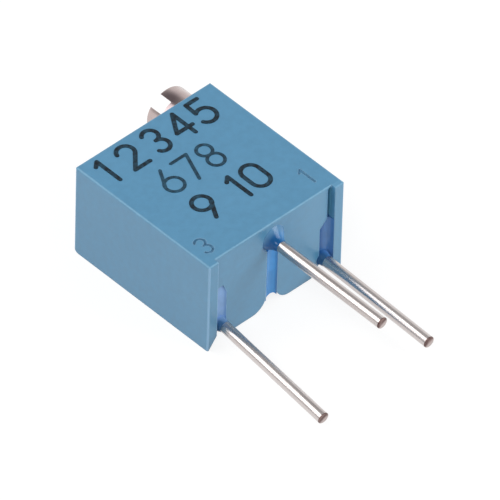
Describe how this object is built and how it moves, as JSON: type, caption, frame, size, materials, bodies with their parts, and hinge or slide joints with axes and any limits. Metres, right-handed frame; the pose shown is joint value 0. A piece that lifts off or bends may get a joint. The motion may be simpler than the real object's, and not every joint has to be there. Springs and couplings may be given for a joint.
{
  "type": "multi-turn trimmer potentiometer",
  "caption": "Small square moulded trimmer resistor lying on its back, with a slotted adjusting screw on one side and round wire leads on the other.",
  "frame": {"origin": "on the centre lead's axis, in the plane of the two feet that seat on the board", "axes": "+Z out of the marked face, as the part lies on its back; -Y the way the leads leave; +Y out of the adjusting screw's face; +X from lead 3 to lead 1"},
  "size_m": [0.0066, 0.0136, 0.0042],
  "materials": {
    "case": "moulded, satin",
    "resin": "cast, glossy",
    "screw": "turned and nickel plated",
    "o_ring": "moulded",
    "clip": "stamped",
    "wheel": "moulded",
    "wiper": "stamped and plated",
    "alumina": "fired",
    "cermet": "screen printed and fired",
    "silver_print": "screen printed and fired",
    "tinned_wire": "drawn and tinned",
    "solder": "reflowed",
    "ink": "stamped on"
  },
  "bodies": {
    "case_body": {"case": "case", "sealing_resin": "resin", "retaining_clip": "clip", "substrate": "alumina", "track": "cermet", "collector": "silver_print", "end_print_1": "silver_print", "end_print_3": "silver_print", "lead_1": "tinned_wire", "lead_2": "tinned_wire", "lead_3": "tinned_wire", "solder_1": "solder", "solder_2": "solder", "solder_3": "solder", "marking": "ink"},
    "screw": {"adjust_screw": "screw", "o_ring": "o_ring"},
    "rotor": {"worm_wheel": "wheel", "wiper": "wiper"}
  },
  "joints": [
    {"name": "screw_turn", "type": "hinge", "parent": "case_body", "child": "screw", "pos_m": [0.0021, 0.0071, -0.00032], "axis": [0, 1, 0], "range_deg": [-2160, 2160]},
    {"name": "rotor_turn", "type": "hinge", "parent": "case_body", "child": "rotor", "pos_m": [-0.00032, 0.0038, -0.00032], "axis": [0, 0, 1], "range_deg": [-120.5, 120.5]}
  ],
  "couplings": [
    {"joint": "rotor_turn", "follows": "screw_turn", "ratio": -0.055556}
  ]
}
